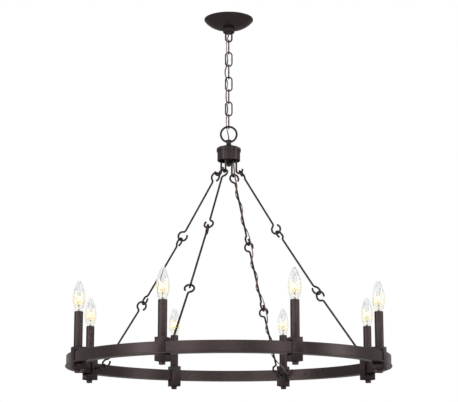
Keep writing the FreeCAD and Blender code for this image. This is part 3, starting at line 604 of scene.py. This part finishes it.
chainCord = {
    "route": [
        (0.0, 0.0, -30.0), (0.0, 0.0, -47.0), (-2.6, -5.4, -57.0), (-6.0, -6.4, -69.0),
        (-6.6, -6.2, -87.0), (-6.2, -6.0, -104.0), (-2.4, 0.0, -122.4), (-6.2, 6.3, -140.5),
        (-10.8, 6.8, -155.0), (-10.4, 6.2, -167.0), (-6.4, 6.1, -180.5), (-2.4, 0.0, -198.0),
        (-6.2, -6.2, -215.5), (-8.2, -6.6, -235.0), (-6.4, -6.1, -255.0), (-2.4, 0.0, -273.4),
        (-6.2, 6.2, -291.0), (-7.6, 6.8, -309.0), (-6.6, 6.4, -327.0), (-3.2, 2.9, -343.0),
        (0.0, 0.0, -359.0), (0.0, 0.0, -375.0),
    ],
    "pivots": [-68.6, -105.8, -143.5, -181.2, -218.9, -256.6, -294.3, -332.0],
    "bendZone": 9.0,
}


def makeChainCord():  # in stretches, one round each joint of the chain, cut halfway between joints
    line = nurbsLine([Vector(point) * mm for point in chainCord["route"]])
    sides = carriedSides(line, Vector((1, 0, 0)), lead["twist"])
    pivots = [z * mm for z in chainCord["pivots"]]
    cuts = [(high + low) / 2 for high, low in zip(pivots, pivots[1:])]
    at = [0] + [min(range(len(line)), key=lambda n: abs(line[n].z - cut)) for cut in cuts] + [len(line) - 1]
    gone = 0.0
    for n, (first, last) in enumerate(zip(at, at[1:])):
        stretch = line[first : last + 1]
        mesh = tubeMesh(stretch, twinProfile(), sides[first : last + 1], gone)
        piece = addPiece("chain_cord_" + str(n + 1), mesh, clearJacket)
        long = sum((b - a).length for a, b in zip(stretch, stretch[1:]))
        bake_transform(piece)
        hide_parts("supply_cord")
        gone += long
    print("chain cord:", round(gone, 4), "m in", len(at) - 1, "stretches")


makeChainCord()

armCord = {
    "armAngle": 67.5,
    "junctions": [(38.08, -466.89), (151.30, -650.90), (269.78, -831.45), (393.54, -1008.55)],  # out, height
    "leave": [(19.5, 45.0, -412.6), (19.9, 45.0, -435.6), (26.0, 52.0, -450.6)],  # out, angle, height
    "ontoRod": (-4.0, 13.0),
    "windings": (225.0, 900.0, 1625.0, 2295.0),
    "turnStep": 60.0,
    "offRod": 6.3,
    "offEyes": 8.4,
    "offCrossing": 8.8,
    "eyeZone": 31.0,
    "crossingZone": 11.0,
    "holeAngle": 64.4,
    "arrive": [(390.5, 0.62, -986.5), (404.5, 0.88, -1001.5), (417.5, 1.0, -1011.5), (433.5, 1.0, -1011.5)],
}


def armPoint(out, angle, height):
    a = math.radians(angle)
    return Vector((out * math.cos(a), out * math.sin(a), height)) * mm


def armRoute():
    c = armCord
    turn = math.radians(c["armAngle"])
    outward = Vector((math.cos(turn), math.sin(turn), 0))
    level = Vector((-math.sin(turn), math.cos(turn), 0))
    joints = [outward * out + Vector((0, 0, height)) for out, height in c["junctions"]]

    def beside(number, distance, winding, off):
        along = (joints[number + 1] - joints[number]).normalized()
        a = math.radians(winding)
        aside = level * math.cos(a) + along.cross(level) * math.sin(a)
        return (joints[number] + along * distance + aside * off) * mm

    route = [armPoint(*place) for place in c["leave"]]
    for distance, off in zip(c["ontoRod"], (c["offEyes"], c["offCrossing"])):
        route.append(beside(0, distance, c["windings"][0], off))
    for number in range(3):
        span = (joints[number + 1] - joints[number]).length
        start = c["windings"][number]
        wound = c["windings"][number + 1] - start
        steps = round(wound / c["turnStep"])
        free = span - 2 * c["eyeZone"]
        for n in range(steps + 1):
            off = c["offEyes"] if n in (0, steps) else c["offRod"]
            route.append(beside(number, c["eyeZone"] + free * n / steps, start + wound * n / steps, off))
        if number < 2:
            route.append(beside(number, span - c["crossingZone"], start + wound, c["offCrossing"]))
            route.append(beside(number + 1, c["crossingZone"], start + wound, c["offCrossing"]))
    lag = c["holeAngle"] - c["armAngle"]
    for out, share, height in c["arrive"]:
        route.append(armPoint(out, c["armAngle"] + lag * share, height))
    return route, [joint * mm for joint in joints]


def makeArmCord():
    route, joints = armRoute()
    line = nurbsLine(route, 8)
    sides = []
    for point, way in zip(line, tangents(line)):  # its flat side lies on the rods
        nearest = None
        for a, b in zip(joints, joints[1:]):
            share = max(0.0, min(1.0, (point - a).dot(b - a) / (b - a).length_squared))
            away = point - (a + (b - a) * share)
            if nearest is None or away.length < nearest.length:
                nearest = away
        sides.append(way.cross(nearest).normalized())
    mesh = tubeMesh(line, twinProfile(), sides)
    piece = addPiece("arm_lead", mesh, clearJacket)
    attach(piece, "hub_and_wheel")
    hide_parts("arm_cord")


makeArmCord()

bulb = {
    "width": 35.0,
    "height": 86.0,  # over the sleeve
    "belly": 32.0,
    "foot": -2.0,
    "footRadius": 5.9,
    "tipRadius": 4.5,
    "tipHeight": 2.5,
    "wall": 0.55,
    "threadTurns": 5.0,
    "pressHeight": 15.0,
    "filamentHeight": 31.0,
    "filamentSpread": 4.2,
    "filamentRise": 9.0,
    "coilTurns": 30.0,
    "coilRadius": 0.62,
    "filamentWire": 0.17,
    "supportWire": 0.24,
    "propWire": 0.16,
    "shell": 5.3,  # radius of the thread's core
    "ridge": 0.5,
    "button": [(0, -0.6), (1.5, 0), (1.9, 1.2), (1.2, 2.5), (0, 2.8)],  # over the press
}


def glassOutline(inset):  # from the foot to the tip
    b = bulb
    wide = b["width"] / 2
    bend = b["height"] - b["tipHeight"]

    def swell(z, r, at):
        radius = ((wide - r) ** 2 + (at - b["belly"]) ** 2) / (2 * (wide - r))
        return wide - radius + math.sqrt((radius - inset) ** 2 - (z - b["belly"]) ** 2)

    lower = [b["foot"] + (b["belly"] - b["foot"]) * k / 18 for k in range(18)]
    upper = [b["belly"] + (bend - b["belly"]) * k / 26 for k in range(27)]
    made = [(swell(z, b["footRadius"], b["foot"]), z) for z in lower]
    made += [(swell(z, b["tipRadius"], bend), z) for z in upper]
    tip = b["height"] - inset
    last = made[-1][0]
    radius = (last**2 + (tip - bend) ** 2) / (2 * (tip - bend))
    for k in range(1, 8):
        r = last * (1 - k / 7)
        made.append((r, tip - radius + math.sqrt(radius**2 - r * r)))
    return inMetres(made)


def makeBulb(number):
    b = bulb
    low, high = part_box("bulb_" + str(number))
    seat = Vector(((low[0] + high[0]) / 2, (low[1] + high[1]) / 2, high[2] - b["height"] * mm))
    place = Matrix.Translation(seat) @ Matrix.Rotation(math.radians(70 + 137.5 * number), 4, "Z")
    glass = turnedMesh(glassOutline(0.0) + glassOutline(b["wall"])[::-1], 64, True)
    foot = b["foot"]
    press = b["pressHeight"]
    stemOutline = [
        (0, foot), (4.4, foot), (3.6, foot + 3), (2.4, foot + 8),
        (2.0, press - 3), (1.9, press - 0.8), (0.9, press), (0, press),
    ]
    stem = turnedMesh(inMetres(softened(stemOutline, 1.2)), 32)
    for vertex in stem.vertices:  # pinched flat where the wires are sealed in
        share = max(0.0, min(1.0, (vertex.co.z / mm - 5.0) / 8.0))
        vertex.co.x *= 1 + 0.5 * share
        vertex.co.y *= 1 - 0.45 * share
    spread = b["filamentSpread"]
    top = b["filamentHeight"]
    wires = []
    level = Vector((0, 1, 0))
    for side in (-1, 1):
        route = [(0.9, foot + 1), (1.0, press), (1.6, press + 4), (spread, top - 4), (spread, top - 0.5)]
        wire = nurbsLine([Vector((side * x, 0, z)) * mm for x, z in route], 6)
        wires.append(tubeMesh(wire, roundProfile(b["supportWire"] * mm, 8), carriedSides(wire, level)))
    crest = top + b["filamentRise"] - 0.8
    prop = nurbsLine([Vector((0, 0, z)) * mm for z in (press - 1, press + 8, crest)], 4)
    wires.append(tubeMesh(prop, roundProfile(b["propWire"] * mm, 8), carriedSides(prop, level)))
    button = turnedMesh(inMetres([(r, z + press) for r, z in b["button"]]), 24)
    bends = [math.pi * k / 24 for k in range(25)]
    rise = b["filamentRise"]
    arch = [Vector((spread * math.cos(a), 0, top + rise * math.sin(a))) * mm for a in bends]
    baseOutline = [
        (0, foot), (5.6, foot), (5.6, foot - 1), (5.25, foot - 1.6), (5.25, foot - 10.5),
        (4.6, foot - 11.6), (2.6, foot - 14.2), (2.5, foot - 14.9), (0, foot - 15),
    ]
    base = turnedMesh(inMetres(softened(baseOutline, 0.5)), 40)
    threadPath = [Vector((0, 0, (foot - 2.2 - k * 0.8) * mm)) for k in range(11)]
    pieces = [
        (addPiece("bulb_glass_" + str(number), glass, bulbGlass), "bulb_glass"),
        (addPiece("bulb_stem_" + str(number), stem, stemGlass), "bulb_glass"),
        (joined("bulb_wires_" + str(number), wires, leadWire), "plated_steel"),
        (addPiece("bulb_button_" + str(number), button, darkButton), "socket_plastic"),
        (addPiece("bulb_base_" + str(number), base, nickelShell), "plated_steel"),
    ]
    for piece, slot in pieces:
        piece.data.transform(place)
    coil = (b["coilTurns"], b["coilRadius"], b["filamentWire"])
    filament = woundMesh(straightCurve(arch), *coil, 360, 6, filamentGlow, place=place)
    pieces.append((addPiece("bulb_filament_" + str(number), filament, filamentGlow), "bulb_glass"))
    ridge = (b["threadTurns"], b["shell"], b["ridge"])
    thread = woundMesh(straightCurve(threadPath), *ridge, 240, 10, nickelShell, place=place)
    pieces.append((addPiece("bulb_thread_" + str(number), thread, nickelShell), "plated_steel"))
    for piece, slot in pieces:
        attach(piece, "bulb_" + str(number))
        if "glass" in piece.name or "base" in piece.name:
            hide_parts("bulb_" + str(number))


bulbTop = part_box("bulb_1")[1][2]
bulbGlass = glassMaterial("bulbGlass", bulbTop - (bulb["height"] - bulb["filamentHeight"]) * mm)
stemGlass = glassMaterial("stemGlass", bulbTop - bulb["height"] * mm)
filamentGlow = glowMaterial("filamentGlow")
leadWire = platedSteel("leadWire")
nickelShell = platedSteel("nickelShell")
darkButton = mouldedPlastic("darkButton", (0.012, 0.010, 0.010), (0.030, 0.024, 0.022), 0.35)
for number in range(1, 9):
    makeBulb(number)
print("bulbs: 8")


def threadedRod(radius, low, high, pitch, bore=0.0):  # a core with a helical ridge, about the Z axis
    depth = pitch * 0.45
    core = radius - depth
    chamfer = 0.3
    outline = [
        (bore, low), (core - chamfer, low), (core, low + chamfer),
        (core, high - chamfer), (core - chamfer, high), (bore, high),
    ]
    rod = turnedMesh(inMetres(outline), 48, bore > 0)
    start, end = low + pitch, high - pitch
    turns = (end - start) / pitch
    path = straightCurve([Vector((0, 0, (start + (end - start) * k / 8) * mm)) for k in range(9)])
    return [rod, woundMesh(path, turns, core, depth, round(turns * 32), 6, zincPlate)]


def crossHead(radius, height, recess):  # a domed head with a cross cut in it, seat at z 0, head upwards
    outline = [
        (0, 0), (radius, 0), (radius, height * 0.25),
        (radius * 0.8, height * 0.72), (radius * 0.45, height * 0.95), (0, height),
    ]
    carrier = bpy.data.objects.new("head", turnedMesh(inMetres(softened(outline, 0.3)), 32))
    bpy.context.scene.collection.objects.link(carrier)
    cutters = []
    for turn in (0, 90):
        bar = bmesh.new()
        bmesh.ops.create_cube(bar, size=1.0)
        for vertex in bar.verts:
            low = vertex.co.z < 0
            vertex.co.x *= radius * (0.5 if low else 1.25) * mm
            vertex.co.y *= radius * (0.16 if low else 0.26) * mm
            vertex.co.z = (height - recess if low else height + 1.0) * mm
        cross = Matrix.Rotation(math.radians(turn), 3, "Z")
        bmesh.ops.rotate(bar, verts=bar.verts, cent=(0, 0, 0), matrix=cross)
        cutter = bpy.data.objects.new("bar", bpy.data.meshes.new("bar"))
        bar.to_mesh(cutter.data)
        bar.free()
        bpy.context.scene.collection.objects.link(cutter)
        cut = carrier.modifiers.new("cut", "BOOLEAN")
        cut.operation = "DIFFERENCE"
        cut.solver = "EXACT"
        cut.object = cutter
        cutters.append(cutter)
    mesh = meshOf(carrier)
    for gone in [carrier, *cutters]:
        bpy.data.objects.remove(gone)
    return mesh


hardware = {
    "nipple": {"radius": 4.9, "bore": 3.2, "length": 33.0, "pitch": 0.94},
    "boxScrew": {
        "out": 44.45, "seat": -2.4, "head": 4.2, "headHeight": 2.6, "cross": 1.4,
        "neck": 1.7, "neckTop": 0.3, "radius": 2.1, "end": 11.6, "pitch": 0.8,
    },
    "seamScrew": {
        "seat": 426.4, "height": -1011.5, "head": 3.0, "headHeight": 1.8, "cross": 1.0,
        "radius": 1.42, "length": 6.0, "pitch": 0.7,
    },
    "seamAngles": (54.4 - 2.8, 5.6),
    "weldBead": 0.42,
    "loom": {"wires": 3, "wire": 1.12, "radius": 1.3, "turns": 36.0},
    "hookPlateHole": (19.5, 45.0, -419.6, -416.6),  # out, angle, lower and upper face
    "rimHole": (426.5, 428.5, 64.4, -1011.5),  # inner and outer face, angle, height
}


def cornersOf(near, far, low, high):
    return [(near, low), (far, low), (far, high), (near, high)]


def rideAs(piece, body, slot, *replaced):
    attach(piece, body)
    if replaced:
        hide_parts(*replaced)


def makeCeilingHardware():
    size = hardware["nipple"]
    rod = threadedRod(size["radius"], -size["length"], 0.0, size["pitch"], size["bore"])
    nipple = joined("ceiling_nipple_threaded", rod, zincPlate)
    rideAs(nipple, "ceiling_mount", "plated_steel", "ceiling_nipple")
    size = hardware["boxScrew"]
    head = crossHead(size["head"], size["headHeight"], size["cross"])
    head.transform(Matrix.Translation((0, 0, size["seat"] * mm)) @ Matrix.Rotation(math.pi, 4, "X"))
    neck = turnedMesh(inMetres(cornersOf(0, size["neck"], size["seat"], size["neckTop"])), 24)
    screw = mergedMesh([head, neck, *threadedRod(size["radius"], 0.0, size["end"], size["pitch"])])
    screw.transform(Matrix.Translation((size["out"] * mm, 0, 0)))
    screws = copiedRound("box_screws_cross", screw, zincPlate, 2, 0, 180)
    rideAs(screws, "ceiling_mount", "plated_steel", "box_screws")


def makeSeamScrews():
    size = hardware["seamScrew"]
    head = crossHead(size["head"], size["headHeight"], size["cross"])
    shank = threadedRod(size["radius"], -size["length"], 0.0, size["pitch"])
    screw = mergedMesh([head, *shank])
    inward = Matrix.Rotation(-math.pi / 2, 4, "Y")
    screw.transform(Matrix.Translation((size["seat"] * mm, 0, size["height"] * mm)) @ inward)
    first, step = hardware["seamAngles"]
    screws = copiedRound("seam_screws_cross", screw, bronzePaint, 2, first, step)
    rideAs(screws, "hub_and_wheel", "bronze", "seam_screws")


def makeWelds():
    for n in range(1, 8):
        low, high = [Vector(corner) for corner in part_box("chain_link_" + str(n))]
        size = high - low
        wire = min(size.x, size.y)
        middle = (low + high) / 2
        if size.x > size.y:
            middle.x = high.x - wire / 2
        else:
            middle.y = high.y - wire / 2
        bead = hardware["weldBead"] * mm
        sizes = {"Wire": wire / 2 - bead * 0.35, "Bead": bead * 2, "Roughness": bead, "Seed": float(n)}
        seam = grownMesh(weldSeam, sizes, bronzeCast, None, Matrix.Translation(middle))
        rideAs(addPiece("link_weld_" + str(n), seam, bronzeCast), "link_" + str(n), "bronze")


def makeLoom():
    size = hardware["loom"]
    low, high = [Vector(corner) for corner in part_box("rim_wiring")]
    height = (low.z + high.z) / 2
    radius = high.x - (high.z - low.z) / 2
    ring = [Vector((x, y, height)) for x, y in roundProfile(radius, 240)]
    wires = []
    for n in range(size["wires"]):
        lay = (size["turns"], size["radius"], size["wire"])
        path = straightCurve(ring, True)
        wires.append(woundMesh(path, *lay, 900, 8, wireSleeving, n / size["wires"]))
    rideAs(joined("rim_loom", wires, wireSleeving), "hub_and_wheel", "wire_insulation", "rim_wiring")


def bushing(bore, hole, wide, low, high, lip):  # a grommet clipped in a hole, about the Z axis
    outline = [
        (bore, low - lip), (wide, low - lip), (wide, low), (hole, low),
        (hole, high), (wide, high), (wide, high + lip), (bore, high + lip),
    ]
    closed = softened([*outline, outline[0]], 0.25)[:-1]
    return turnedMesh(inMetres(closed), 28, True)


def makeBushings():
    out, angle, low, high = hardware["hookPlateHole"]
    hub = bushing(2.35, 2.9, 4.0, low, high, 0.8)
    hub.transform(Matrix.Translation(armPoint(out, angle, 0.0)))
    inner, outer, angle, height = hardware["rimHole"]
    rim = bushing(2.3, 2.6, 4.0, inner, outer, 0.8)
    turn = Matrix.Rotation(math.radians(angle), 4, "Z")
    rim.transform(turn @ Matrix.Translation((0, 0, height * mm)) @ Matrix.Rotation(math.pi / 2, 4, "Y"))
    rideAs(joined("cord_bushings", [hub, rim], socketPhenolic), "hub_and_wheel", "socket_plastic")


makeCeilingHardware()
makeSeamScrews()
makeWelds()
makeLoom()
makeBushings()
print("hardware: threads, screws, welds, loom and bushings")


candle = {
    "out": 440.5,
    "count": 8,
    "first": 22.5,
    "sleeve": {"radius": 12.0, "wall": 1.0, "low": -984.2, "high": -888.3, "lip": 0.4},
    "finial": {
        "top": -1045.8, "bottom": -1054.3, "flange": 8.5, "flangeHeight": 2.0, "shoulder": 2.8,
        "neck": 8.3, "foot": 7.4, "footRise": 1.2, "dimple": 2.4, "dimpleFloor": 2.0, "dimpleDepth": 0.5,
    },
    "block": {
        "inner": 421.0, "outer": 456.2, "low": -1045.7, "high": -984.3, "width": 29.0, "edge": 0.9,
        "rimInner": 426.1, "rimOuter": 454.8, "rimLow": -1027.3, "rimHigh": -995.7,
    },
}


def softEdged(mesh, width, segments=3):  # the sharp edges of a closed mesh rounded
    carrier = bpy.data.objects.new("soft", mesh)
    bpy.context.scene.collection.objects.link(carrier)
    bevel = carrier.modifiers.new("edges", "BEVEL")
    bevel.width = width
    bevel.segments = segments
    bevel.limit_method = "ANGLE"
    bevel.angle_limit = math.radians(40)
    bevel.harden_normals = True
    made = meshOf(carrier)
    bpy.data.objects.remove(carrier)
    return made


def blockMesh():  # a collar round the rim, open where the rim passes through
    b = candle["block"]
    half = b["width"] / 2
    outside = cornersOf(b["inner"], b["outer"], b["low"], b["high"])
    inside = cornersOf(b["rimInner"], b["rimOuter"], b["rimLow"], b["rimHigh"])
    shape = bmesh.new()
    loops = []
    for side in (-half, half):
        for loop in (outside, inside):
            loops.append([shape.verts.new((r * mm, side * mm, z * mm)) for r, z in loop])
    nearOut, nearIn, farOut, farIn = loops
    for k in range(4):
        n = (k + 1) % 4
        shape.faces.new((nearOut[k], nearOut[n], nearIn[n], nearIn[k]))
        shape.faces.new((farOut[k], farIn[k], farIn[n], farOut[n]))
        shape.faces.new((nearOut[k], farOut[k], farOut[n], nearOut[n]))
        shape.faces.new((nearIn[k], nearIn[n], farIn[n], farIn[k]))
    bmesh.ops.recalc_face_normals(shape, faces=shape.faces)
    mesh = bpy.data.meshes.new("block")
    shape.to_mesh(mesh)
    shape.free()
    return softEdged(mesh, b["edge"] * mm)


def makeCandles():
    spread = (candle["count"], candle["first"], 360 / candle["count"])
    seat = Matrix.Translation((candle["out"] * mm, 0, 0))
    c = candle["sleeve"]
    outline = cornersOf(c["radius"] - c["wall"], c["radius"], c["low"], c["high"])
    closed = softened([*outline, outline[0], outline[1]], c["lip"])[1:-1]
    sleeve = turnedMesh(inMetres(closed), 48, True)
    sleeve.transform(seat)
    covers = copiedRound("candle_covers", sleeve, bronzePaint, *spread)
    rideAs(covers, "hub_and_wheel", "bronze", "candle_sleeves")
    c = candle["finial"]
    top, bottom = c["top"], c["bottom"]
    floor = bottom + c["dimpleDepth"]
    outline = [
        (0, top), (c["flange"], top), (c["flange"], top - c["flangeHeight"]),
        (c["neck"], top - c["shoulder"]), (c["neck"], bottom + c["footRise"]),
        (c["foot"], bottom), (c["dimple"], bottom), (c["dimpleFloor"], floor), (0, floor),
    ]
    finial = turnedMesh(inMetres(softened(outline, 0.5)), 40)
    finial.transform(seat)
    finials = copiedRound("block_finials_turned", finial, bronzePaint, *spread)
    rideAs(finials, "hub_and_wheel", "bronze", "block_finials")
    blocks = copiedRound("candle_blocks", blockMesh(), bronzeCast, *spread)
    rideAs(blocks, "hub_and_wheel", "bronze", *["block_" + str(n) for n in range(1, 9)])


makeCandles()
print("candles: covers, finials and blocks")

studio = {
    "floorHeight": -4.4,
    "floorSize": 90.0,
    "surround": 0.55,
    "lamps": [  # name, place, aim, width, height, watts
        ("leftSoftbox", (-3.0, -2.0, -0.4), (0, 0, -0.8), 0.9, 2.4, 60.0),
        ("rightSoftbox", (3.2, -0.8, -0.4), (0, 0, -0.8), 0.7, 2.4, 48.0),
        ("frontLeft", (-1.7, -3.4, -0.3), (0, 0, -0.7), 0.6, 1.2, 30.0),
        ("frontRight", (1.9, -3.0, -0.3), (0, 0, -0.7), 0.5, 1.2, 26.0),
        ("frontLow", (0.0, -4.5, -0.2), (0, 0, -0.3), 1.0, 0.5, 24.0),
        ("backTop", (0.4, 2.6, 1.2), (0, 0, -0.8), 1.6, 1.0, 30.0),
    ],
}


def makeStudio():
    world = bpy.data.worlds.new("studio")
    bpy.context.scene.world = world
    world.use_nodes = True
    world.node_tree.nodes.clear()
    g = Graph(world.node_tree)
    path = g.node("ShaderNodeLightPath")
    seen = (path + path.also("Is Glossy Ray") + path.also("Is Transmission Ray")).within()
    plain = g.node("ShaderNodeBackground", {}, {"Color": (1, 1, 1, 1), "Strength": studio["surround"]})
    white = g.node("ShaderNodeBackground", {}, {"Color": (1, 1, 1, 1), "Strength": 1.0})
    mix = g.node("ShaderNodeMixShader", {}, {0: seen, 1: plain, 2: white})
    end = world.node_tree.nodes.new("ShaderNodeOutputWorld")
    world.node_tree.links.new(mix.socket, end.inputs["Surface"])
    for name, place, aim, width, height, watts in studio["lamps"]:
        lamp = bpy.data.lights.new(name, "AREA")
        lamp.shape = "RECTANGLE"
        lamp.size = width
        lamp.size_y = height
        lamp.energy = watts
        holder = bpy.data.objects.new(name, lamp)
        holder.location = place
        holder.rotation_euler = (Vector(aim) - Vector(place)).to_track_quat("-Z", "Y").to_euler()
        holder.visible_camera = False
        bpy.context.scene.collection.objects.link(holder)
    half = studio["floorSize"] / 2
    z = studio["floorHeight"]
    mesh = bpy.data.meshes.new("floor")
    corners = [(x, y, z) for x, y in cornersOf(-half, half, -half, half)]
    mesh.from_pydata(corners, [], [(0, 1, 2, 3)])
    floor = addPiece("floor", mesh, floorFinish(), False)


def floorFinish():
    made, g = newMaterial("paleFloor")
    place = g.node("ShaderNodeTexCoord").also("Object")
    cloud = g.noise(place, 0.8, 3.0)
    tint = g.mixed(cloud, (0.88, 0.88, 0.87, 1.0), (0.91, 0.91, 0.90, 1.0))
    sockets = {"Base Color": tint, "Roughness": 0.75 + cloud * 0.1}
    surface = g.node("ShaderNodeBsdfPrincipled", {}, sockets)
    pale = g.node("ShaderNodeEmission", {}, {"Color": (0.90, 0.90, 0.895, 1.0), "Strength": 1.0})
    seen = g.node("ShaderNodeLightPath") * 0.65  # only what the camera sees is lifted
    finishMaterial(g, g.node("ShaderNodeMixShader", {}, {0: seen, 1: surface, 2: pale}))
    return made


makeStudio()
bpy.context.scene.view_settings.view_transform = "Standard"
print("studio: ready")
